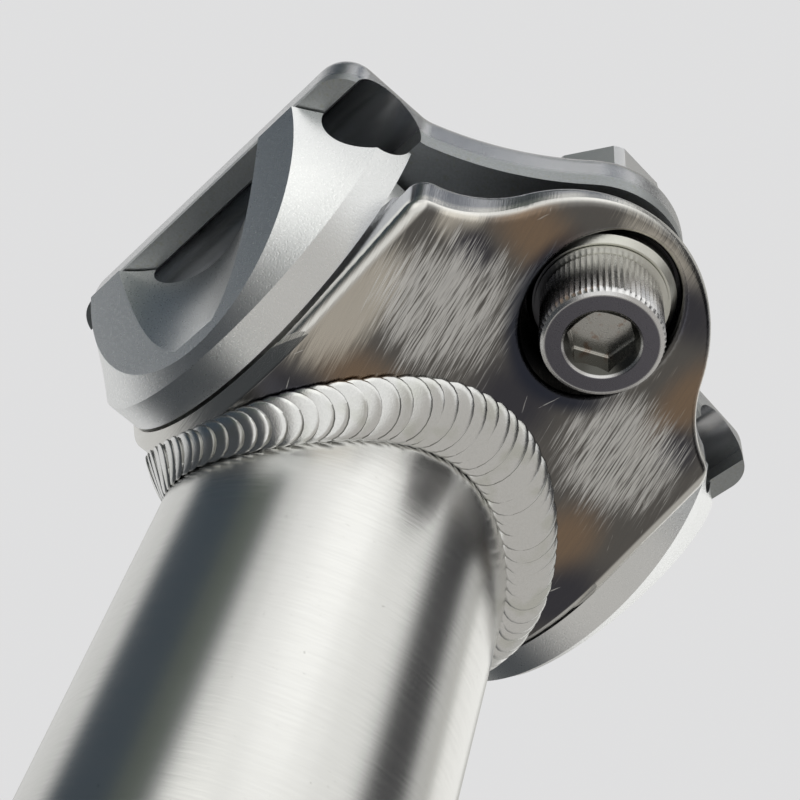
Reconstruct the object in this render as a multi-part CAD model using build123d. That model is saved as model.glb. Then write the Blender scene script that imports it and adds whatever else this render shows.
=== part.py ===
from build123d import *
import os
from math import cos, radians, sin, sqrt, tan

# Two-bolt bicycle seatpost with a welded head, all sizes in millimetres.
# The origin is the centre of the post's lower end, +Z runs up the post and
# +Y points to the front of the bicycle.  The two rails of a saddle run fore
# and aft, one each side of the post.

# Post
post_od = 30.9
post_wall = 1.4
post_length = 350.0
post_end_chamfer = 0.5
weld_zone = 22.0
weld_zone_ease = 0.05

# Placing of the clamp on the post
setback = 3.0
clamp_tilt = 11.5

# Saddle rails that the clamp takes
rail_d = 7.0
rail_spacing = 44.0
rail_clearance = 0.05
rail_drop = 2.6

# Bolts, washers and nuts
bolt_d = 6.0
bolt_head_d = 10.0
bolt_head_height = 6.0
bolt_head_chamfer = 0.42
hex_flats = 5.0
hex_depth = 3.4
hex_lead = 0.35
bolt_tip_above_nut = 2.4
bolt_tip_below_nut = 0.2
bolt_tip_chamfer = 0.5
washer_d = 12.3
washer_height = 2.1
washer_chamfer = 0.5
ball_washer_d = 10.9
ball_washer_edge = 0.16
ball_stands_proud = 0.3
joint_sphere_r = 9.0
joint_gap = 0.12
hole_clearance = 0.9
washer_bore_extra = 0.3
nut_flats = 10.0
nut_height = 4.9
nut_collar_d = 11.4
nut_collar_height = 0.7
nut_corner_out = 0.5
nut_bore_clearance = 0.1
cross_nut_r = 4.5
cross_nut_half = 6.2
cross_nut_drop = 10.9
cross_nut_clearance = 0.1
cross_nut_chamfer = 0.4

# Head, a half barrel with an ear at each end
barrel_r = 20.3
barrel_wall = 3.8
barrel_half_width = 18.1
barrel_end_chamfer = 1.1
bolt_to_barrel = 3.1
rear_slope = 23.6
rear_shoulder_x = 11.0
rear_shoulder_out = 1.7
rear_tip_out = 7.8
rear_corner_r = 1.9
rear_corner_out = 0.1
front_ear_half = 6.5
front_ear_top = 5.7
front_ear_wall = 2.6
ear_top_at_trough = 9.0
ear_top_rise = 0.22
ear_edge_r = 1.0
ear_top_edge_r = 1.4
ear_pad_r = 6.6
ear_pad_top = 5.7
pocket_clearance = 0.35
pocket_lip = 0.6
pocket_seat = 7.6

# Lower cradle, a half barrel with a half-moon flange at each end
cradle_play = 0.12
side_gap = 0.3
flange_step = 1.2
flange_rim_width = 2.9
flange_waist_out = 2.4
flange_waist_step = 2.65
flange_wall = 5.8
flange_edge_step = 5.0
flange_taper = 19.6
cradle_outer_rise = 0.2
cradle_inner_gap = 1.1
cradle_step_overlap = 0.5
cradle_pocket_wall = 5.4
cradle_pocket_half = 13.0
scoop_r = 13.1
scoop_foot = 17.1
scoop_foot_out = 0.36
scoop_lean = 4.5

# Upper clamp
arm_reach = 19.3
arm_front_reach = 17.0
arm_wall = 5.5
arm_flat = 9.3
arm_slant = 0.5
arm_corner_r = 3.0
arm_edge_r = 2.8
lip_gap = 0.45
lip_width = 2.3
yoke_below_rail = 0.35
yoke_top = 3.8
tongue_r = 8.4
tongue_back = 1.5
washer_sink = 0.8

# Weld bead
bead_width_across = 1.5
bead_width_along = 3.5
bead_bevel = 1.3
bead_arc_less = 0.3
bead_arc_drop = 2.3
bead_arc_forward = 0.95

# Places that follow from the sizes above
post_r = post_od / 2
rail_x = rail_spacing / 2
groove_r = rail_d / 2 + rail_clearance
trough_r = barrel_r - barrel_wall
bolt_r = bolt_d / 2
bolt_hole_r = bolt_r + hole_clearance
barrel_z = post_length + rail_drop * cos(radians(clamp_tilt))
yoke_bottom = rail_drop + yoke_below_rail
washer_face = pocket_seat + washer_height
bolt_seat = washer_face + ball_stands_proud
bolt_face = bolt_seat + bolt_head_height
ball_centre = bolt_seat - ball_washer_edge + sqrt(joint_sphere_r**2 - (ball_washer_d / 2) ** 2)
nut_centre = yoke_top + joint_gap + sqrt(joint_sphere_r**2 - (nut_collar_d / 2) ** 2)
nut_top = yoke_top + joint_gap + nut_height
front_reach = barrel_r + bolt_to_barrel
rear_reach = -front_reach
front_seat = yoke_top - washer_sink
front_ear_bottom = cross_nut_drop + cross_nut_r + front_ear_wall
pocket_r = washer_d / 2 + pocket_clearance
flange_inner_x = barrel_half_width + side_gap
flange_rim_r = barrel_r - flange_step
clamp_plane = Plane(
    origin=(0, -setback, barrel_z),
    x_dir=(1, 0, 0),
    z_dir=(0, sin(radians(clamp_tilt)), cos(radians(clamp_tilt))),
)
far = 80.0

# Everything on the clamp is drawn in the clamp's own frame: X across, Y along
# the rails to the front, Z square to the rails, zero on the barrel's axis.


def place(shape):
    """Move a shape from the clamp's frame to the post's frame."""
    return clamp_plane.location * shape


def across(radius, half_length):
    """A round bar along the barrel's axis."""
    return Rot(0, 90, 0) * Cylinder(radius, 2 * half_length)


def upright(radius, reach, low, high):
    """A round bar square to the rails, between two heights."""
    bar = Cylinder(radius, high - low, align=(Align.CENTER, Align.CENTER, Align.MIN))
    return Pos(0, reach, low) * bar


def ball(radius, reach, height):
    """A ball on a bolt's axis."""
    return Pos(0, reach, height) * Sphere(radius)


def slab(low, high, half_x=far, back=-far, front=far):
    """A box between two heights."""
    box = Box(2 * half_x, front - back, high - low, align=(Align.CENTER, Align.MIN, Align.MIN))
    return Pos(0, back, low) * box


def from_side(points, half_width):
    """A prism across the clamp, from an outline given as reach and height."""
    corners = [(0, reach, height) for reach, height in points]
    face = make_face(Polyline(*corners, close=True))
    return extrude(face, half_width, dir=(1, 0, 0), both=True)


def both_sides(shape):
    """A shape and its mirror image across the middle of the post."""
    return shape + mirror(shape, Plane.YZ)


def rail_grooves():
    """The two round bars that a saddle's rails take up."""
    bar = Rot(90, 0, 0) * Cylinder(groove_r, 2 * far)
    return both_sides(Pos(rail_x, 0, -rail_drop) * bar)


def tube_outside():
    """The tube's outside, a straight shaft that is eased where it is welded."""
    shaft_top = post_length - weld_zone
    rest = barrel_z - shaft_top
    eased = Pos(0, 0, shaft_top + rest / 2) * Cone(post_r, post_r - weld_zone_ease, rest)
    return upright(post_r, 0, 0, shaft_top) + eased


def post_tube():
    """The drawn tube, mitred to the underside of the head."""
    tube = tube_outside() - upright(post_r - post_wall, 0, 0, barrel_z)
    tube = chamfer(tube.edges().group_by(Axis.Z)[0], post_end_chamfer)
    tube -= place(head_blank() + above_head())
    return tube.solids().sort_by(Axis.Z)[0]


def weld_bead():
    """The bead that runs round the mitre, as one rounded ring."""
    oval = Ellipse(post_r + bead_width_across, post_r + bead_width_along)
    sleeve = Pos(0, 0, barrel_z - far) * extrude(oval, far)
    bar = Pos(0, bead_arc_forward - setback, barrel_z - bead_arc_drop) * across(
        barrel_r - bead_arc_less, far
    )
    ring = sleeve & bar
    crest = ring.edges().filter_by(lambda e: e.length > post_r).sort_by(Axis.Z)[0]
    ring = chamfer(crest, bead_bevel)
    ring -= tube_outside()
    ring -= place(head_blank() + above_head())
    ring &= Pos(0, 0, barrel_z) * Box(2 * barrel_half_width, far, far)
    return ring.solids().sort_by(SortBy.VOLUME)[-1]


def rear_ear():
    """The wide ear behind the barrel, whose underside is tangent to it."""
    back = -rear_reach
    corner = barrel_r + rear_corner_out
    tip = ThreePointArc(
        (-rear_shoulder_x, -back - rear_shoulder_out),
        (0, -back - rear_tip_out),
        (rear_shoulder_x, -back - rear_shoulder_out),
    )
    right = TangentArc(tip @ 1, (barrel_half_width, -corner), tangent=tip % 1)
    left = mirror(right, Plane.YZ)
    rest = Polyline(
        (barrel_half_width, -corner),
        (barrel_half_width, 0),
        (-barrel_half_width, 0),
        (-barrel_half_width, -corner),
    )
    plan = make_face([tip, right, left, rest])
    sharp = [v for v in plan.vertices() if abs(v.Y + corner) < 0.01]
    plan = fillet(sharp, rear_corner_r)
    ear = Pos(0, 0, -far) * extrude(plan, 2 * far)
    slope = radians(rear_slope)
    start = (-barrel_r * sin(slope), -barrel_r * cos(slope))
    length = back + rear_tip_out
    end = (start[0] - length * cos(slope), start[1] + length * sin(slope))
    ear &= from_side([(0, ear_top(0)), (0, start[1]), start, end, (end[0], ear_top(end[0]))], far)
    under = [e for e in ear.edges() if e.center().Y < start[0] and on_slope(e, start, slope)]
    ear = fillet(under, ear_edge_r)
    return fillet([e for e in ear.edges() if on_ear_top(e)], ear_top_edge_r)


def on_slope(edge, start, slope):
    """Whether an edge lies in the sloping underside of the rear ear."""
    spots = [edge @ 0.0, edge @ 0.5, edge @ 1.0]
    return all(
        abs((p.Z - start[1]) * cos(slope) + (p.Y - start[0]) * sin(slope)) < 0.01 for p in spots
    )


def ear_top(reach):
    """The height of the rear ear's upper face."""
    return -ear_top_at_trough - (reach + trough_r) * ear_top_rise


def on_ear_top(edge):
    """Whether an edge bounds the rear ear's upper face."""
    spots = [edge @ 0.0, edge @ 0.5, edge @ 1.0]
    return (edge @ 0.5).Y < -ear_edge_r and all(abs(p.Z - ear_top(p.Y)) < 0.01 for p in spots)


def front_ear():
    """The narrow ear in front, which the post's own width hides."""
    ear = upright(front_ear_half, front_reach, -front_ear_bottom, 0)
    return ear + slab(-front_ear_bottom, 0, front_ear_half, 0, front_reach)


def head_blank():
    """The barrel with both ears, solid and not yet cut off at the top."""
    bar = across(barrel_r, barrel_half_width)
    bar = chamfer(bar.edges().filter_by(GeomType.CIRCLE), barrel_end_chamfer)
    return bar + rear_ear() + front_ear()


def above_head():
    """The room over the head's upper faces."""
    return from_side(
        [
            (-far, ear_top(-far)),
            (-trough_r, ear_top(-trough_r)),
            (trough_r, -front_ear_top),
            (far, -front_ear_top),
            (far, far),
            (-far, far),
        ],
        far,
    )


def head_shell():
    """The head that is welded on the post, open at the top."""
    head = head_blank() - above_head()
    head += upright(ear_pad_r, rear_reach, -ear_top_at_trough, -ear_pad_top)
    head -= across(trough_r, far)
    head -= upright(pocket_r, rear_reach, -far, -pocket_seat)
    head -= Pos(0, front_reach, -cross_nut_drop) * across(cross_nut_r + cross_nut_clearance, far)
    for reach in (rear_reach, front_reach):
        head -= upright(bolt_hole_r, reach, -far, far)
    lips = [e for e in head.edges() if is_pocket_rim(e.bounding_box())]
    head = fillet(lips, min(pocket_lip, pocket_depth() / 2))
    return head.solids().sort_by(SortBy.VOLUME)[-1]


def pocket_depth():
    """The depth of the bolt's pocket at its far side, where it is least."""
    slope = radians(rear_slope)
    run = pocket_r - rear_reach - barrel_r * sin(slope)
    return barrel_r * cos(slope) - run * tan(slope) - pocket_seat


def is_pocket_rim(box):
    """Whether an edge with this box is the lower rim of the bolt's pocket."""
    return abs(box.size.X - 2 * pocket_r) < 0.01 and box.center().Z < -pocket_seat - pocket_lip


def flange():
    """The right-hand flange of the cradle, turned about the barrel's axis."""
    outer_x = rail_x + flange_wall
    rim_end = flange_inner_x + flange_rim_width
    flank = ThreePointArc(
        (rim_end, 0, -flange_rim_r),
        (rail_x + flange_waist_out, 0, -flange_rim_r + flange_waist_step),
        (outer_x, 0, -flange_rim_r + flange_edge_step),
    )
    rest = Polyline(
        (outer_x, 0, -flange_rim_r + flange_edge_step),
        (outer_x, 0, 0),
        (flange_inner_x, 0, 0),
        (flange_inner_x, 0, -flange_rim_r),
        (rim_end, 0, -flange_rim_r),
    )
    disc = revolve(make_face([flank, rest]), Axis.X, 360)
    return disc - outside_of_taper(outer_x) - scoop()


def outside_of_taper(outer_x):
    """The wedge that leans the flange's outer face inwards to the bottom."""
    lean = tan(radians(flange_taper))
    top = cradle_outer_rise - rail_drop
    wedge = Polyline(
        (outer_x + lean * far, 0, top + far),
        (outer_x - lean * far, 0, top - far),
        (outer_x + far, 0, top - far),
        (outer_x + far, 0, top + far),
        close=True,
    )
    return extrude(make_face(wedge), far, dir=(0, 1, 0), both=True)


def scoop():
    """The round hollow in the middle of the flange's outer face."""
    foot = Pos(rail_x + scoop_foot_out, 0, -scoop_foot)
    bar = Pos(scoop_r, 0, 0) * Cylinder(scoop_r, 2 * far)
    floor = slab(-scoop_foot - far, -scoop_foot)
    return foot * Rot(0, scoop_lean, 0) * bar - floor


def lower_cradle():
    """The half barrel that turns in the head and carries both rails."""
    cradle = across(trough_r - cradle_play, flange_inner_x + flange_rim_width / 2)
    cradle += both_sides(flange())
    cradle -= across(trough_r - cradle_pocket_wall, cradle_pocket_half)
    inner_top = -rail_drop - cradle_inner_gap
    cradle -= slab(inner_top, far, rail_x - groove_r + cradle_step_overlap)
    cradle -= slab(cradle_outer_rise - rail_drop, far)
    cradle -= rail_grooves()
    return cradle.solids().sort_by(SortBy.VOLUME)[-1]


def yoke_plan():
    """The outline of the upper clamp, as seen square to the rails."""
    rear = mirror(half_plan(arm_reach), Plane.XZ)
    return half_plan(arm_front_reach) + rear


def half_plan(reach):
    """Half of the upper clamp's outline, from its middle to a tongue's tip."""
    outer = rail_x + arm_wall
    root = (outer - arm_flat, reach + arm_slant)
    centre = front_reach - tongue_back
    edge = tongue_r * sin(radians(45))
    tip = ThreePointArc((-edge, centre + edge), (0, centre + tongue_r), (edge, centre + edge))
    right = TangentArc(tip @ 1, root, tangent=tip % 1)
    half = Polyline(
        root,
        (outer, reach),
        (outer, 0),
        (-outer, 0),
        (-outer, reach),
        (-root[0], root[1]),
    )
    plan = make_face([tip, right, mirror(right, Plane.YZ), half])
    corners = [v for v in plan.vertices() if v.Y > 1 and abs(v.X) > root[0] - 0.01]
    return fillet(corners, arm_corner_r)


def upper_clamp():
    """The clamp that goes over both rails, with a tongue for each bolt."""
    yoke = Pos(0, 0, -yoke_bottom) * extrude(yoke_plan(), yoke_bottom + yoke_top)
    yoke = fillet(yoke.faces().sort_by(Axis.Z)[-1].edges(), arm_edge_r)
    lips = slab(-far, lip_gap - rail_drop) - slab(-far, far, rail_x + arm_wall - lip_width)
    yoke -= lips
    yoke -= rail_grooves()
    for reach in (rear_reach, front_reach):
        yoke -= upright(bolt_hole_r, reach, -far, far)
    yoke -= ball(joint_sphere_r + joint_gap, rear_reach, nut_centre)
    yoke -= upright(pocket_r, front_reach, front_seat, far)
    return yoke.solids().sort_by(SortBy.VOLUME)[-1]


def below_ear(shape):
    """The place of a bolt, or of a washer under it, in the rear ear."""
    return place(Pos(0, rear_reach, 0) * shape)


def on_tongue(shape):
    """The same on the front tongue, where the bolt goes in from above."""
    return place(Pos(0, front_reach, front_seat - pocket_seat) * Rot(180, 0, 0) * shape)


def bolt(tip):
    """A socket cap screw, head below, with its tip at a height."""
    head = upright(bolt_head_d / 2, 0, -bolt_face, -bolt_seat)
    head = chamfer(head.edges().group_by(Axis.Z)[0], bolt_head_chamfer)
    screw = head + upright(bolt_r, 0, -bolt_seat, tip)
    screw = chamfer(screw.edges().group_by(Axis.Z)[-1], bolt_tip_chamfer)
    hexagon = RegularPolygon(hex_flats / 2, 6, major_radius=False, rotation=30)
    screw -= Pos(0, 0, -bolt_face) * extrude(hexagon, hex_depth)
    lead_r = hex_flats / sqrt(3) + hex_lead
    lead = Cone(lead_r, lead_r - 2 * hex_lead, 2 * hex_lead, align=(Align.CENTER, Align.CENTER, Align.MIN))
    return (screw - Pos(0, 0, -bolt_face) * lead).solids()[0]


def seat_washer():
    """The dished washer that a bolt's ball washer turns in."""
    washer = upright(washer_d / 2, 0, -washer_face, -pocket_seat)
    washer = chamfer(washer.edges().group_by(Axis.Z)[0], washer_chamfer)
    washer -= ball(joint_sphere_r + joint_gap, 0, -ball_centre)
    return (washer - upright(bolt_hole_r + washer_bore_extra, 0, -far, far)).solids()[0]


def ball_washer():
    """The domed washer under a bolt's head."""
    washer = upright(ball_washer_d / 2, 0, -bolt_seat, -pocket_seat)
    washer &= ball(joint_sphere_r, 0, -ball_centre)
    bore_r = bolt_r + nut_bore_clearance + washer_bore_extra
    return (washer - upright(bore_r, 0, -far, far)).solids()[0]


def rear_nut():
    """The nut on the rear tongue, domed below so that the clamp can tilt."""
    base = yoke_top + joint_gap
    body = upright(nut_collar_d / 2, rear_reach, 0, base + nut_collar_height)
    body &= ball(joint_sphere_r, rear_reach, nut_centre)
    hexagon = RegularPolygon(nut_flats / 2, 6, major_radius=False)
    crown = Pos(0, rear_reach, base) * extrude(hexagon, nut_height)
    crown &= upright(nut_flats / 2 + nut_corner_out, rear_reach, -far, far)
    body += crown
    return (body - upright(bolt_r + nut_bore_clearance, rear_reach, -far, far)).solids()[0]


def front_nut():
    """The round nut that lies across the front ear."""
    bar = across(cross_nut_r, cross_nut_half)
    bar = chamfer(bar.edges().filter_by(GeomType.CIRCLE), cross_nut_chamfer)
    bar = Pos(0, front_reach, -cross_nut_drop) * bar
    return (bar - upright(bolt_r + nut_bore_clearance, front_reach, -far, far)).solids()[0]


rear_tip = nut_top + bolt_tip_above_nut
front_tip = front_seat - pocket_seat + cross_nut_drop + cross_nut_r + bolt_tip_below_nut
nodes = {
    "post_tube": post_tube(),
    "weld_bead": weld_bead(),
    "head_shell": place(head_shell()),
    "lower_cradle": place(lower_cradle()),
    "upper_clamp": place(upper_clamp()),
    "rear_bolt": below_ear(bolt(rear_tip)),
    "rear_seat_washer": below_ear(seat_washer()),
    "rear_ball_washer": below_ear(ball_washer()),
    "rear_nut": place(rear_nut()),
    "front_bolt": on_tongue(bolt(front_tip)),
    "front_seat_washer": on_tongue(seat_washer()),
    "front_ball_washer": on_tongue(ball_washer()),
    "front_nut": place(front_nut()),
}

os.makedirs("parts", exist_ok=True)
for name, solid in nodes.items():
    solid.label = name
    export_step(solid, "parts/" + name + ".step")
    print(name, round(solid.volume, 1), solid.is_valid, len(solid.solids()))
print("bolt reach", round(front_reach, 2), "ball centres", round(-ball_centre, 3),
      round(front_seat + ball_centre - pocket_seat, 3), "nut centre", round(nut_centre, 3),
      "barrel height", round(barrel_z, 3))
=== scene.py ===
import bpy
import math
import random
from mathutils import Matrix, Vector


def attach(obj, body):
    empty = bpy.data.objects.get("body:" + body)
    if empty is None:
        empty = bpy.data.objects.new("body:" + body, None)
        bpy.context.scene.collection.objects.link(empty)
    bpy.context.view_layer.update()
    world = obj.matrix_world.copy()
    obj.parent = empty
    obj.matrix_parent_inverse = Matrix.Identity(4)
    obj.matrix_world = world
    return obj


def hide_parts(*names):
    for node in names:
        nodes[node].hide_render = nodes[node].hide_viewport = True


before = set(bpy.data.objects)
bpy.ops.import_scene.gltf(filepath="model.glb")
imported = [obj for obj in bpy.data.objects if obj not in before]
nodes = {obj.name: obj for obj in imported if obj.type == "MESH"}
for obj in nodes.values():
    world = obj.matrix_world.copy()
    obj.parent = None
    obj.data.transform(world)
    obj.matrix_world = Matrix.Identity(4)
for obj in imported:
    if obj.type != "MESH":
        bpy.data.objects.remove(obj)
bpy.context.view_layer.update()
bpy.ops.object.select_all(action="DESELECT")
mm = 0.001

# The clamp's own frame: across, along the rails and square to the rails, in mm
clamp = {"tilt": 11.5, "setback": 3.0, "barrelHeight": 352.548}
clampTurn = Matrix.Rotation(math.radians(-clamp["tilt"]), 4, "X")
clampPlace = Matrix.Translation((0, -clamp["setback"] * mm, clamp["barrelHeight"] * mm)) @ clampTurn
print("frame loaded")

# Camera, at the photograph's angle
view = {
    "place": (-46.518, -84.577, 259.208), "right": (0.70476, -0.66644, 0.24326),
    "up": (-0.61676, -0.40610, 0.67431), "focalPixels": 1381.5, "framePixels": 800,
    "sensor": 36.0, "near": 0.005, "far": 20.0,
}
right, up = Vector(view["right"]), Vector(view["up"])
turn = Matrix((right, up, right.cross(up))).transposed().to_4x4()
camera = bpy.data.objects.new("camera", bpy.data.cameras.new("camera"))
bpy.context.scene.collection.objects.link(camera)
camera.matrix_world = Matrix.Translation(Vector(view["place"]) * mm) @ turn
camera.data.sensor_width = view["sensor"]
camera.data.lens = view["sensor"] * view["focalPixels"] / view["framePixels"]
camera.data.clip_start = view["near"]
camera.data.clip_end = view["far"]
bpy.context.scene.camera = camera
bpy.context.scene.view_settings.view_transform = "Standard"
print("camera set")


class Flow:
    # one output of a shader node, which can stand in an expression
    def __init__(self, graph, socket):
        self.graph = graph
        self.socket = socket

    def __add__(self, other):
        return self.graph.calc("ADD", self, other)

    def __radd__(self, other):
        return self.graph.calc("ADD", other, self)

    def __sub__(self, other):
        return self.graph.calc("SUBTRACT", self, other)

    def __rsub__(self, other):
        return self.graph.calc("SUBTRACT", other, self)

    def __mul__(self, other):
        return self.graph.calc("MULTIPLY", self, other)

    def __rmul__(self, other):
        return self.graph.calc("MULTIPLY", other, self)


class Graph:
    # the node tree of a material or of the world
    def __init__(self, owner):
        owner.use_nodes = True
        self.tree = owner.node_tree
        self.tree.nodes.clear()

    def node(self, kind, settings=None, inputs=None, output=0):
        made = self.tree.nodes.new("ShaderNode" + kind)
        for key, value in (settings or {}).items():
            setattr(made, key, value)
        for key, value in (inputs or {}).items():
            if isinstance(value, Flow):
                self.tree.links.new(value.socket, made.inputs[key])
            elif isinstance(value, tuple) and made.inputs[key].type == "RGBA":
                made.inputs[key].default_value = (*value, 1.0)
            else:
                made.inputs[key].default_value = value
        return Flow(self, made.outputs[output]) if made.outputs else None

    def calc(self, operation, first, second=0.0):
        return self.node("Math", {"operation": operation}, {0: first, 1: second})

    def step(self, value, low, high):
        # 0 below low, 1 above high and smooth between them
        settings = {"interpolation_type": "SMOOTHSTEP"}
        return self.node("MapRange", settings, {0: value, 1: low, 2: high, 3: 0.0, 4: 1.0})

    def mix(self, factor, first, second):
        return self.node("Mix", {"data_type": "RGBA"}, {0: factor, 6: first, 7: second}, 2)

    def vector(self, operation, first, second):
        return self.node("VectorMath", {"operation": operation}, {0: first, 1: second})

    def place(self, move=(0, 0, 0), turn=(0, 0, 0), scale=(1, 1, 1)):
        # object coordinates in mm, moved, turned and stretched
        place = self.node("TexCoord", {}, {}, "Object")
        place = self.vector("MULTIPLY", place, (1 / mm, 1 / mm, 1 / mm))
        place = self.vector("SUBTRACT", place, move)
        angles = tuple(math.radians(a) for a in turn)
        place = self.node("VectorRotate", {"rotation_type": "EULER_XYZ"}, {0: place, "Rotation": angles})
        return self.vector("MULTIPLY", place, scale)

    def inClamp(self, turn=0, scale=(1, 1, 1)):
        # the same in the clamp's frame
        return self.place((0, -clamp["setback"], clamp["barrelHeight"]), (clamp["tilt"], 0, turn), scale)

    def noise(self, place, scale, detail=3.0, roughness=0.5):
        return self.node("TexNoise", {}, {"Vector": place, "Scale": scale, "Detail": detail, "Roughness": roughness})

    def xyz(self, place):
        return [self.node("SeparateXYZ", {}, {0: place}, i) for i in range(3)]

    def blob(self, place, centre, size):
        # 1 in the middle of a soft spot, 0 outside it
        apart = self.vector("DIVIDE", self.vector("SUBTRACT", place, centre), size)
        length = self.node("VectorMath", {"operation": "LENGTH"}, {0: apart}, 1)
        return 1.0 - self.step(length, 0.0, 1.0)

    def blobs(self, place, group):
        most = 0.0
        for centre, size in group:
            most = self.calc("MAXIMUM", most, self.blob(place, centre, size))
        return most

    def distance(self, first, second):
        # how long a line is that goes first one way and then square to it
        return self.calc("SQRT", first * first + second * second)

    def bump(self, height, strength, distance):
        return self.node("Bump", {}, {"Strength": strength, "Distance": distance * mm, "Height": height})

    def metal(self, colour, roughness, normal=None, metallic=1.0):
        inputs = {"Base Color": colour, "Metallic": metallic, "Roughness": roughness}
        if normal:
            inputs["Normal"] = normal
        shader = self.node("BsdfPrincipled", {}, inputs)
        self.node("OutputMaterial", {}, {0: shader})


def material(name):
    made = bpy.data.materials.new(name)
    return made, Graph(made)


def dress(node, made):
    # a new finish on a CAD node
    for slot in nodes[node].material_slots:
        slot.material = made


# Studio: pale walls and dark cards that only reflections see, and a plain pale floor
studio = {
    "background": (0.74, 0.74, 0.745), "wall": (0.70, 0.70, 0.69), "fill": (0.86, 0.86, 0.87),
    "table": (0.50, 0.485, 0.46), "floorColour": (0.72, 0.72, 0.72), "floorRoughness": 0.9, "floorHalf": 3.0,
    # azimuths in degrees
    "cards": [
        {"name": "key wall", "from": -200, "to": -137, "soft": 14, "colour": (1.04, 1.04, 1.02)},
        {"name": "key wall's end", "from": 154, "to": 210, "soft": 7, "colour": (0.93, 0.93, 0.91)},
        {"name": "navy drape", "from": -106, "to": -39, "soft": 7, "colour": (0.04, 0.055, 0.07)},
        {"name": "drape's open side", "from": -103, "to": -84, "soft": 7, "colour": (0.085, 0.10, 0.085)},
        {"name": "far grey wall", "from": 24, "to": 110, "soft": 12, "colour": (0.46, 0.455, 0.43)},
        {"name": "dark stand", "from": 118, "to": 149, "soft": 5, "colour": (0.045, 0.045, 0.047)},
    ],
    "lowCards": [
        {"name": "white cloth", "from": -172, "to": -112, "soft": 12, "colour": (0.90, 0.90, 0.88)},
        {"name": "dark side", "from": -100, "to": 60, "soft": 14, "colour": (0.06, 0.065, 0.07)},
    ],
    "midCards": [{"name": "white panel", "from": -136, "to": -112, "soft": 6, "colour": (1.22, 1.22, 1.18)}],
    "topCards": [{"name": "dark ceiling", "from": -200, "to": -134, "soft": 6, "colour": (0.10, 0.12, 0.155)}],
    # heights of a direction between which one row of cards gives way to the next
    "lowEdge": (-0.30, 0.05), "midBottom": (-0.3, -0.1), "midTop": (0.41, 0.51), "topEdge": (0.90, 0.96),
}


def addCards(g, azimuth, colour, cards):
    for card in cards:
        soft = card["soft"]
        mask = g.step(azimuth, card["from"] - soft, card["from"] + soft)
        mask = mask - g.step(azimuth, card["to"] - soft, card["to"] + soft)
        colour = g.mix(mask, colour, card["colour"])
    return colour


def makeWorld():
    world = bpy.data.worlds.new("studio")
    bpy.context.scene.world = world
    g = Graph(world)
    x, y, z = g.xyz(g.node("TexCoord", {}, {}, "Generated"))
    azimuth = g.calc("ARCTAN2", x, y) * (180.0 / math.pi)
    colour = addCards(g, azimuth, studio["wall"], studio["cards"])
    low = addCards(g, azimuth, studio["table"], studio["lowCards"])
    colour = g.mix(g.step(z, *studio["lowEdge"]), low, colour)
    middle = g.step(z, *studio["midBottom"]) * (1.0 - g.step(z, *studio["midTop"]))
    colour = g.mix(middle, colour, addCards(g, azimuth, colour, studio["midCards"]))
    top = addCards(g, azimuth, colour, studio["topCards"])
    colour = g.mix(g.step(z, *studio["topEdge"]), colour, top)
    glossy = g.node("LightPath", {}, {}, "Is Glossy Ray")
    seen = g.node("LightPath", {}, {}, "Is Camera Ray")
    colour = g.mix(glossy, studio["fill"], colour)
    colour = g.mix(seen, colour, studio["background"])
    g.node("OutputWorld", {}, {0: g.node("Background", {}, {0: colour, 1: 1.0})})


def makeFloor():
    bpy.ops.mesh.primitive_plane_add(size=2 * studio["floorHalf"], location=(0, 0, 0))
    floor = bpy.context.active_object
    floor.name = "floor"
    made, g = material("floorPaint")
    g.metal(studio["floorColour"], studio["floorRoughness"], metallic=0.0)
    floor.data.materials.append(made)
    floor.visible_glossy = False


lights = {
    "aim": (0, 0, 0.34),
    "lamps": {
        "over": {"place": (-0.5, -0.7, 1.3), "size": 0.9, "power": 0.5},
        "side": {"place": (0.9, 0.2, 0.8), "size": 0.7, "power": 0.8},
    },
}


def makeLamps():
    for name, setting in lights["lamps"].items():
        data = bpy.data.lights.new(name, "AREA")
        data.size = setting["size"]
        data.energy = setting["power"]
        lamp = bpy.data.objects.new(name, data)
        lamp.location = setting["place"]
        lamp.rotation_euler = (Vector(lights["aim"]) - lamp.location).to_track_quat("-Z", "Y").to_euler()
        bpy.context.scene.collection.objects.link(lamp)


makeWorld()
makeFloor()
makeLamps()
print("studio built")

# Tube: satin titanium, brushed round the tube
tube = {
    "colour": (0.80, 0.80, 0.78), "dull": (0.66, 0.655, 0.64), "speckColour": (0.5, 0.49, 0.47),
    "roughness": 0.22, "grain": 4.5, "grainLength": 14.0, "cloud": 0.12, "speck": 2.6,
}


def finishTube():
    made, g = material("tubeTitanium")
    along = 1 / tube["grainLength"]
    grain = g.noise(g.place(scale=(along, along, 1)), tube["grain"], 4.0)
    cloud = g.noise(g.place(scale=(1, 1, 0.4)), tube["cloud"], 2.0)
    speck = g.step(g.noise(g.place(), tube["speck"], 2.0), 0.70, 0.78)
    colour = g.mix(grain * 0.35 + cloud * 0.25, tube["colour"], tube["dull"])
    colour = g.mix(speck * 0.5, colour, tube["speckColour"])
    roughness = tube["roughness"] + (grain - 0.5) * 0.10 + (cloud - 0.5) * 0.06
    g.metal(colour, roughness, g.bump(grain, 0.25, 0.02))
    dress("post_tube", made)


finishTube()
print("tube finished")

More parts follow.
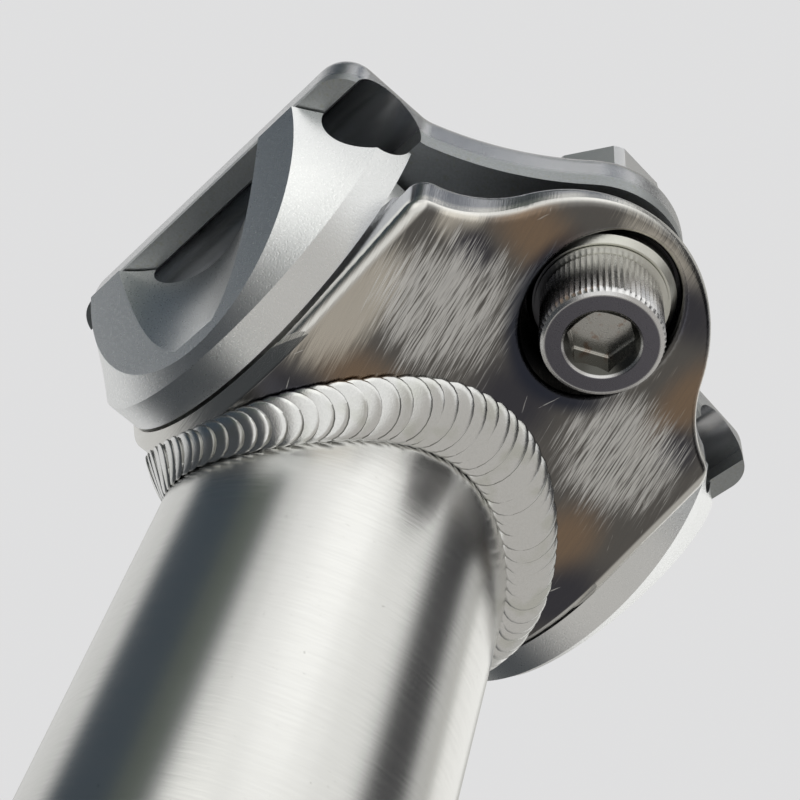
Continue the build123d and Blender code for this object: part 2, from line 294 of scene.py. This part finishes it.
# Head: titanium, brushed round the barrel; on its rear underside a base painted dark for dark reflection, with
# painted highlight, sheen, warm reflection and shade patches
head = {
    # the near-white colour is painted highlight, the dark base colour is painted dark reflection, the tan is painted
    # warm reflection, the beige is painted sheen, and the dark and the pocket colours are painted shade
    "colour": (0.97, 0.965, 0.95), "paintedDarkReflection": (0.16, 0.153, 0.145), "dark": (0.06, 0.06, 0.075),
    "tan": (0.29, 0.205, 0.14), "sheenBeige": (0.84, 0.79, 0.70), "elsewhere": (0.72, 0.71, 0.68),
    "pocketShade": (0.035, 0.04, 0.06), "wall": (0.34, 0.35, 0.385), "pocketInsideShade": (0.03, 0.03, 0.032),
    "streak": (0.10, 0.10, 0.105), "scratch": (0.9, 0.9, 0.88), "roughness": 0.22,
    # the barrel's radius, the slope of the ear's underside and the pocket's middle along the clamp
    "barrel": 20.3, "slope": 23.6, "pocket": -23.4,
    # where one look gives way to another, in mm
    "lip": (16.9, 17.2), "front": (-1.5, 2.5), "edgeDepth": (0.12, 0.55), "wallDepth": (1.0, 1.7),
    "pocketShadeRadius": (7.0, 8.4), "pocketShadeSide": (-1.5, 4.0), "pocketInsideShadeRadius": (6.55, 6.8),
    # brush strokes: angle from the clamp's length, fineness and share of that along a stroke
    "fine": (13, 9.0, 0.03), "hair": (17, 11.0, 0.022), "wide": (10, 3.0, 0.05),
    "nick": (30, 3.4, 0.06), "crossNick": (-24, 3.0, 0.08), "strokeDepth": 0.05,
    # soft patches of painted highlight, sheen, warm reflection and shade in the clamp's frame: middle and size, in
    # mm
    # painted highlight: the bright band that the brushing throws along the barrel
    "brushed": [
        ((-10.5, -16.0, -15), (9.5, 9.5, 9)),
        ((10.0, -16.8, -15), (9.5, 8.5, 9)),
        ((-6.0, -21.0, -13), (2.6, 6.5, 7)),
    ],
    # painted sheen: pale patches
    "paintedSheen": [
        ((-16.0, -11.5, -17), (5.0, 11.0, 10)),
        ((-14.5, -21.5, -12), (3.2, 4.5, 5)),
        ((0.0, -29.5, -8), (9.0, 2.6, 5)),
    ],
    # painted warm reflection: tan patches
    "paintedWarmReflection": [
        ((-9.0, -24.5, -12), (7.5, 4.2, 8)),
        ((11.0, -23.5, -12), (4.0, 8.0, 8)),
        ((12.0, -9.0, -18), (5.0, 6.0, 9)),
        ((-9.5, -7.8, -18), (11.0, 4.4, 9)),
    ],
    "shade": [
        ((-0.5, -14.5, -16), (6.5, 6.0, 8)),
        ((-12.0, -20.5, -13), (4.2, 2.6, 5)),
        ((15.8, -5.0, -19), (5.2, 7.0, 8)),
        ((13.5, -20.0, -13), (4.0, 3.2, 6)),
        ((-13.5, -3.5, -20), (9.0, 4.5, 6)),
        ((5.0, -28.0, -9), (7.0, 4.0, 6)),
    ],
}


def finishHead():
    made, g = material("headTitanium")
    place = g.inClamp()
    across, along, height = g.xyz(place)

    def strokes(name):
        angle, scale, long = head[name]
        lines = g.node("VectorRotate", {"rotation_type": "Z_AXIS"}, {0: place, "Angle": math.radians(angle)})
        return g.noise(g.vector("MULTIPLY", lines, (1, long, head["strokeDepth"])), scale)

    fine = strokes("fine")
    ragged = (strokes("hair") - 0.5) * 1.3 + (strokes("wide") - 0.5) * 0.7
    deep = g.step(strokes("nick"), 0.72, 0.75) + g.step(strokes("crossNick"), 0.73, 0.76)
    paintedHighlight = g.step(g.blobs(place, head["brushed"]) + ragged, 0.24, 0.74)
    paintedSheen = g.step(g.blobs(place, head["paintedSheen"]) + ragged * 0.5, 0.2, 0.8)
    paintedWarmReflection = g.step(g.blobs(place, head["paintedWarmReflection"]) + ragged * 0.2, 0.0, 1.0)
    shade = g.step(g.blobs(place, head["shade"]) + ragged * 0.2, 0.05, 0.9)
    # a base painted dark for dark reflection, then painted warm reflection, sheen and shade over it
    colour = g.mix(paintedWarmReflection * 0.95, head["paintedDarkReflection"], head["tan"])
    colour = g.mix(paintedSheen * 0.75, colour, head["sheenBeige"])
    colour = g.mix(shade * 0.9, colour, head["dark"])
    # painted highlight along the brush strokes
    colour = g.mix(paintedHighlight * g.step(fine, 0.34, 0.58), colour, head["colour"])
    streak = (0.12 + paintedHighlight * 0.25) * (1.0 - paintedSheen * 0.7)
    colour = g.mix(g.step(fine, 0.45, 0.62) * streak, colour, head["streak"])
    # painted shade round the bolt's pocket, darker on one side
    toPocket = along - head["pocket"]
    fromPocket = g.distance(across, toPocket)
    side = g.step(toPocket - across * 0.6, *head["pocketShadeSide"])
    pocketShade = (1.0 - g.step(fromPocket, *head["pocketShadeRadius"])) * side
    colour = g.mix(pocketShade * 0.9, colour, head["pocketShade"])
    # how far a point lies inside the barrel, or above the ear's sloping underside
    slope = math.radians(head["slope"])
    tangent = (-head["barrel"] * math.sin(slope), -head["barrel"] * math.cos(slope))
    above = (height - tangent[1]) * math.cos(slope) + (along - tangent[0]) * math.sin(slope)
    onBarrel = g.step(along, tangent[0] - 0.5, tangent[0] + 0.5)
    onEar = 1.0 - onBarrel
    depth = above * onEar + (head["barrel"] - g.distance(along, height)) * onBarrel
    lip = g.step(g.calc("ABSOLUTE", across), *head["lip"])
    edge = g.calc("MAXIMUM", g.step(depth, *head["edgeDepth"]), lip)
    edge = g.calc("MAXIMUM", edge, g.step(along, *head["front"]))
    colour = g.mix(edge, colour, head["elsewhere"])
    colour = g.mix(g.step(depth, *head["wallDepth"]) * onEar * 0.85, colour, head["wall"])
    # painted near-black shade inside the bolt's pocket
    colour = g.mix(1.0 - g.step(fromPocket, *head["pocketInsideShadeRadius"]), colour, head["pocketInsideShade"])
    colour = g.mix(g.calc("MINIMUM", deep, 1.0) * 0.5, colour, head["scratch"])
    roughness = head["roughness"] + (fine - 0.5) * 0.16 + paintedHighlight * 0.10 - shade * 0.05
    g.metal(colour, roughness, g.bump(fine, 0.35, 0.04))
    dress("head_shell", made)


finishHead()
print("head finished")

# Cradle: bead-blasted aluminium
cradle = {
    "colour": (0.97, 0.975, 0.975), "dull": (0.70, 0.725, 0.735), "sparkle": (0.93, 0.93, 0.95),
    "roughness": 0.30,
}


def finishCradle():
    made, g = material("blastedAluminium")
    pits = g.noise(g.place(), 5.5, 4.0, 0.65)
    cloud = g.noise(g.place(), 0.2, 2.0)
    sparkle = g.step(g.noise(g.place(), 4.0, 1.0), 0.69, 0.75)
    nick = g.step(g.noise(g.place(move=(3, 5, 7)), 0.8, 1.0), 0.76, 0.80)
    colour = g.mix(pits * 0.4 + cloud * 0.2, cradle["colour"], cradle["dull"])
    colour = g.mix(sparkle * 0.5 + nick, colour, cradle["sparkle"])
    roughness = cradle["roughness"] + (pits - 0.5) * 0.22
    g.metal(colour, roughness, g.bump(pits, 0.4, 0.05))
    dress("lower_cradle", made)


finishCradle()
print("cradle finished")

# Upper clamp: brushed outside, blasted and darker below
yoke = {
    "colour": (0.64, 0.65, 0.67), "brushed": (0.40, 0.41, 0.43), "inside": (0.55, 0.57, 0.58),
    "pitted": (0.34, 0.36, 0.36), "olive": (0.38, 0.38, 0.28), "roughness": 0.10, "insideRoughness": 0.30,
    "edge": (-1.5, -0.7), "brushAngle": 12, "brushLength": 0.03, "brush": 18.0,
}


def finishYoke():
    made, g = material("brushedAluminium")
    brush = g.noise(g.inClamp(yoke["brushAngle"], (yoke["brushLength"], 1, 1)), yoke["brush"])
    pits = g.noise(g.place(), 5.0, 4.0, 0.65)
    below = 1.0 - g.step(g.xyz(g.inClamp())[2], *yoke["edge"])
    olive = g.step(g.noise(g.place(), 3.0), 0.55, 0.7)
    outside = g.mix(brush * 0.5, yoke["colour"], yoke["brushed"])
    inside = g.mix(pits, yoke["inside"], yoke["pitted"])
    inside = g.mix(olive * 0.4, inside, yoke["olive"])
    relief = g.mix(below, brush, pits)
    roughness = g.mix(below, brush * 0.14 + yoke["roughness"], pits * 0.2 + yoke["insideRoughness"])
    g.metal(g.mix(below, outside, inside), roughness, g.bump(relief, 0.35, 0.04))
    dress("upper_clamp", made)


finishYoke()
print("upper clamp finished")

# Bolts: stainless socket screws with knurled heads, along their own axis in mm, and the nuts' finish
screw = {
    "face": -16.0, "seat": -10.0, "headRadius": 5.0, "chamfer": 0.42, "chamferRise": 0.47, "faceEdge": 0.16,
    "sideFrom": 0.9, "seatEdge": ((0.0, 0.35), (0.15, 0.1), (0.25, 0.0)), "knurls": 66, "knurlDepth": 0.13,
    "radius": 3.0, "rootRadius": 2.5, "pitch": 1.0, "crest": 0.12, "threadFrom": -4.0, "tipChamfer": 0.5,
    "tips": {"rear_bolt": 11.22, "front_bolt": 11.0},
    "hexFlats": 5.0, "hexDepth": 2.6, "hexTurn": 60, "lead": 0.35, "reach": 23.4, "middle": -2.3, "smooth": 28,
    "faceRadius": (4.42, 4.56), "socketRadius": (3.0, 3.05),
    # the face is painted dark, the socket's walls painted shade and the socket's floor edge a painted highlight
    "colour": (0.88, 0.875, 0.87), "dull": (0.52, 0.51, 0.52), "faceColour": (0.17, 0.165, 0.19),
    "socketWallShade": (0.12, 0.12, 0.11), "floorColour": (0.58, 0.57, 0.54), "rust": (0.36, 0.22, 0.15),
    "floorEdgeHighlight": (0.97, 0.96, 0.93), "nutColour": (0.88, 0.88, 0.88), "nutDull": (0.70, 0.70, 0.70),
    "roughness": 0.20, "nutRoughness": 0.34,
}


def turned(name, profile, sides):
    # a round piece: a disc that is extruded and scaled from ring to ring
    radius, height = profile[0]
    bpy.ops.mesh.primitive_circle_add(vertices=sides, radius=radius * mm, fill_type="NGON")
    piece = bpy.context.active_object
    piece.name = name
    bpy.ops.object.mode_set(mode="EDIT")
    bpy.ops.mesh.select_all(action="SELECT")
    bpy.ops.transform.translate(value=(0, 0, height * mm))
    for nextRadius, nextHeight in profile[1:]:
        rise = (nextHeight - height) * mm
        scale = nextRadius / radius
        bpy.ops.mesh.extrude_region_move(TRANSFORM_OT_translate={"value": (0, 0, rise)})
        bpy.ops.transform.resize(value=(scale, scale, 1), center_override=(0, 0, nextHeight * mm))
        radius, height = nextRadius, nextHeight
    bpy.ops.mesh.select_all(action="SELECT")
    bpy.ops.mesh.normals_make_consistent(inside=False)
    bpy.ops.object.mode_set(mode="OBJECT")
    return piece


def applyAll(piece):
    bpy.ops.object.select_all(action="DESELECT")
    piece.select_set(True)
    bpy.context.view_layer.objects.active = piece
    bpy.ops.object.transform_apply(location=True, rotation=True, scale=True)


def cut(piece, tool):
    bpy.context.view_layer.objects.active = piece
    taken = piece.modifiers.new("cut", "BOOLEAN")
    taken.operation = "DIFFERENCE"
    taken.solver = "EXACT"
    taken.object = tool
    bpy.ops.object.modifier_apply(modifier="cut")
    bpy.data.objects.remove(tool)


def knurl(piece):
    # every second line of the head's side goes in
    bpy.ops.object.mode_set(mode="EDIT")
    bpy.ops.mesh.select_all(action="DESELECT")
    bpy.ops.object.mode_set(mode="OBJECT")
    sides = 2 * screw["knurls"]
    low = screw["face"] + screw["chamfer"] * 0.6
    for point in piece.data.vertices:
        angle = math.atan2(point.co.y, point.co.x) / (2 * math.pi) * sides
        outside = point.co.to_2d().length > (screw["headRadius"] - 0.1) * mm
        if outside and low * mm < point.co.z < screw["seat"] * mm and round(angle) % 2:
            point.select = True
    bpy.ops.object.mode_set(mode="EDIT")
    scale = 1 - screw["knurlDepth"] / screw["headRadius"]
    bpy.ops.transform.resize(value=(scale, scale, 1), center_override=(0, 0, 0))
    bpy.ops.object.mode_set(mode="OBJECT")


def makeBolt(name, tip):
    face, seat, out, inner = screw["face"], screw["seat"], screw["headRadius"], screw["radius"]
    profile = [
        (out - screw["chamfer"], face), (out - screw["faceEdge"], face + screw["faceEdge"]),
        (out, face + screw["chamferRise"]), (out, face + screw["sideFrom"]),
    ]
    profile += [(out - inwards, seat - below) for inwards, below in screw["seatEdge"]]
    profile.append((inner, seat))
    height, pitch, threadTo = screw["threadFrom"], screw["pitch"], tip - screw["tipChamfer"]
    while height + pitch < threadTo:
        root = (screw["rootRadius"], height + pitch / 2)
        profile += [(inner, height), root, (inner, height + pitch - screw["crest"])]
        height += pitch
    profile += [(inner, threadTo), (inner - screw["tipChamfer"], tip)]
    piece = turned(name, profile, 2 * screw["knurls"])
    knurl(piece)
    corner = screw["hexFlats"] / math.sqrt(3)
    bpy.ops.mesh.primitive_cylinder_add(
        vertices=6, radius=corner * mm, depth=2 * screw["hexDepth"] * mm,
        location=(0, 0, face * mm), rotation=(0, 0, math.radians(screw["hexTurn"])),
    )
    cut(piece, bpy.context.active_object)
    # the lead-in round the socket
    lead = screw["lead"]
    wide = corner + lead
    bpy.ops.mesh.primitive_cone_add(
        vertices=72, radius1=(wide + 2 * lead) * mm, radius2=(wide - 2 * lead) * mm, depth=4 * lead * mm,
        location=(0, 0, face * mm),
    )
    cut(piece, bpy.context.active_object)
    return piece


def finishBolts():
    made, g = material("boltSteel")
    grain = g.noise(g.place(), 9.0, 4.0, 0.6)
    cloud = g.noise(g.place(), 0.9, 2.0)
    across, along, height = g.xyz(g.inClamp())
    # from a bolt's axis, and towards its head from the middle between the two heads, which face apart
    radius = g.distance(across, g.calc("ABSOLUTE", along) - screw["reach"])
    out = (height - screw["middle"]) * g.calc("SIGN", along)
    faceAt = screw["middle"] - screw["face"]
    floorAt = faceAt - screw["hexDepth"]
    face = g.step(out, faceAt - 0.06, faceAt - 0.02) * (1.0 - g.step(radius, *screw["faceRadius"]))
    inSocket = (1.0 - g.step(radius, *screw["socketRadius"])) * g.step(out, floorAt - 0.1, floorAt - 0.05)
    floor = inSocket * (1.0 - g.step(out, floorAt + 0.02, floorAt + 0.05))
    floorEdgeHighlight = g.step(out, floorAt + 0.02, floorAt + 0.04) * (1.0 - g.step(out, floorAt + 0.2, floorAt + 0.26))
    rust = g.step(g.noise(g.place(move=(1, 2, 3)), 0.9), 0.54, 0.66)
    colour = g.mix(grain * 0.4 + cloud * 0.3, screw["colour"], screw["dull"])
    # painted shade on the socket's walls
    colour = g.mix(inSocket * (1.0 - floor), colour, screw["socketWallShade"])
    colour = g.mix(floor, colour, g.mix(rust * 0.7, screw["floorColour"], screw["rust"]))
    # painted highlight along the edge of the socket's floor
    colour = g.mix(inSocket * floorEdgeHighlight, colour, screw["floorEdgeHighlight"])
    # the head's flat face painted dark
    colour = g.mix(face, colour, screw["faceColour"])
    roughness = screw["roughness"] + (grain - 0.5) * 0.2 + cloud * 0.1
    g.metal(colour, roughness, g.bump(grain, 0.3, 0.02))
    reach = screw["reach"]
    upside = Matrix.Translation((0, reach * mm, 2 * screw["middle"] * mm)) @ Matrix.Rotation(math.pi, 4, "X")
    places = {
        "rear_bolt": ("socketScrewRear", Matrix.Translation((0, -reach * mm, 0)), "rear_bolt_set"),
        "front_bolt": ("socketScrewFront", upside, "front_bolt_set"),
    }
    for node, (name, place, body) in places.items():
        piece = makeBolt(name, screw["tips"][node])
        piece.matrix_world = clampPlace @ place
        applyAll(piece)
        bpy.ops.object.shade_smooth_by_angle(angle=math.radians(screw["smooth"]))
        piece.data.materials.clear()
        piece.data.materials.append(made)
        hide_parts(node)
        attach(piece, body)
    nut, g = material("nutSteel")
    grain = g.noise(g.place(), 7.0, 4.0, 0.6)
    colour = g.mix(grain * 0.4, screw["nutColour"], screw["nutDull"])
    g.metal(colour, screw["nutRoughness"], g.bump(grain, 0.3, 0.02))
    dress("rear_nut", nut)
    dress("front_nut", nut)


finishBolts()
print("bolts made")

# Washers: pale turned steel, in the dark deep in the rear pocket
washer = {
    "colour": (0.84, 0.84, 0.77), "dull": (0.58, 0.575, 0.54), "shade": (0.10, 0.10, 0.11),
    "shadeFrom": (-22.5, -18.5), "shadeSlope": 0.7, "pocketTo": (-10.0, 0.0), "roughness": 0.32,
}


def finishWashers():
    made, g = material("washerSteel")
    grain = g.noise(g.place(), 7.0, 4.0, 0.6)
    colour = g.mix(grain * 0.5, washer["colour"], washer["dull"])
    across, along = g.xyz(g.inClamp())[:2]
    inPocket = 1.0 - g.step(along, *washer["pocketTo"])
    shade = g.step(along - across * washer["shadeSlope"], *washer["shadeFrom"]) * inPocket
    colour = g.mix(shade, colour, washer["shade"])
    g.metal(colour, washer["roughness"] + (grain - 0.5) * 0.2, g.bump(grain, 0.3, 0.03))
    for end in ("rear", "front"):
        dress(end + "_seat_washer", made)
        dress(end + "_ball_washer", made)


finishWashers()
print("washers finished")

# Weld: overlapping coins of metal along the joint of tube and barrel
weld = {
    "tubeRadius": 15.45, "across": 1.5, "along": 3.5, "barrelRadius": 20.3, "frontReach": 14.8,
    "arcRadius": 20.0, "arcDrop": 2.3, "arcForward": 0.95,
    "coins": 92, "halfLength": 2.3, "halfHeight": 0.34, "lean": -9.0, "leanSpread": 2, "spread": 0.25, "seed": 11,
    # how far a coin's two ends stand off the metal and reach past the bead's edges
    "standTube": 0.55, "standBarrel": 0.80, "pastTube": 0.6, "pastBarrel": 0.25,
    "colour": (0.86, 0.86, 0.85), "dull": (0.55, 0.56, 0.56), "heat": (0.56, 0.58, 0.48), "roughness": 0.20,
    # the darker rim colour is painted shade for the creases between coins
    "creaseShadeColour": (0.45, 0.45, 0.43), "rimRoughness": 0.4, "rimFrom": 0.6, "rimHeight": 0.25,
}


def weldSection(angle):
    # the bead's two edges, on the tube and on the barrel, in mm
    middle, drop = clamp["barrelHeight"], weld["arcDrop"]
    y = weld["tubeRadius"] * math.cos(angle)
    lift = math.sqrt(weld["arcRadius"] ** 2 - (y + clamp["setback"] - weld["arcForward"]) ** 2)
    onTube = Vector((weld["tubeRadius"] * math.sin(angle), y, middle - drop - lift))
    y = min((weld["tubeRadius"] + weld["along"]) * math.cos(angle), weld["frontReach"])
    lift = math.sqrt(weld["barrelRadius"] ** 2 - (y + clamp["setback"]) ** 2)
    onBarrel = Vector(((weld["tubeRadius"] + weld["across"]) * math.sin(angle), y, middle - lift))
    return onTube, onBarrel


def coinPlace(angle, lean):
    # the matrix that lays a unit sphere across the bead as a flat coin
    onTube, onBarrel = weldSection(angle)
    nextTube, nextBarrel = weldSection(angle + 0.01)
    ahead = ((nextTube + nextBarrel) / 2 - (onTube + onBarrel) / 2).normalized()
    wide = (onBarrel - onTube).normalized()
    out = ahead.cross(wide).normalized()
    if out.z > 0:
        out = -out
    low = onTube + out * weld["standTube"] - wide * weld["pastTube"]
    high = onBarrel + out * weld["standBarrel"] + wide * weld["pastBarrel"]
    wide = (high - low).normalized()
    ahead = wide.cross(out).normalized()
    turnCoin = Matrix((ahead, wide, ahead.cross(wide))).transposed().to_4x4()
    half = Vector((weld["halfLength"], (high - low).length / 2, weld["halfHeight"])) * mm
    leanCoin = Matrix.Rotation(math.radians(lean), 4, "Y")
    return Matrix.Translation((low + high) / 2 * mm) @ turnCoin @ leanCoin @ Matrix.Diagonal(half).to_4x4()


def makeWeld():
    made, g = material("weldTitanium")
    grain = g.noise(g.place(), 6.0, 4.0, 0.6)
    cloud = g.noise(g.place(), 0.35, 2.0)
    colour = g.mix(grain * 0.4, weld["colour"], weld["dull"])
    colour = g.mix(g.step(cloud, 0.5, 0.7) * 0.35, colour, weld["heat"])
    g.metal(colour, weld["roughness"] + (grain - 0.5) * 0.14, g.bump(grain, 0.3, 0.03))
    dress("weld_bead", made)
    creaseShadeMaterial, g = material("weldCreaseShade")
    g.metal(weld["creaseShadeColour"], weld["rimRoughness"])
    bpy.ops.mesh.primitive_uv_sphere_add(segments=24, ring_count=10, radius=1.0)
    first = bpy.context.active_object
    first.data.materials.append(made)
    first.data.materials.append(creaseShadeMaterial)
    # the rim that shows past the next coin is rougher, with painted shade for the crease between coins
    for face in first.data.polygons:
        middle = face.center
        if middle.x > weld["rimFrom"] and abs(middle.z) < weld["rimHeight"] * middle.x:
            face.material_index = 1
    coins = [first]
    while len(coins) < weld["coins"]:
        coin = bpy.data.objects.new("weldCoin", first.data.copy())
        bpy.context.scene.collection.objects.link(coin)
        coins.append(coin)
    rng = random.Random(weld["seed"])
    for i, coin in enumerate(coins):
        angle = 2 * math.pi * (i + weld["spread"] * (rng.random() - 0.5)) / weld["coins"]
        lean = weld["lean"] + rng.uniform(-weld["leanSpread"], weld["leanSpread"])
        coin.data.transform(coinPlace(angle, lean))
    bpy.ops.object.select_all(action="DESELECT")
    for coin in coins:
        coin.select_set(True)
    bpy.context.view_layer.objects.active = first
    bpy.ops.object.join()
    first.name = "weldRipples"
    bpy.ops.object.mode_set(mode="EDIT")
    bpy.ops.mesh.select_all(action="SELECT")
    bpy.ops.mesh.normals_make_consistent(inside=False)
    bpy.ops.object.mode_set(mode="OBJECT")
    bpy.ops.object.shade_smooth()
    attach(first, "post")


makeWeld()
print("weld made")
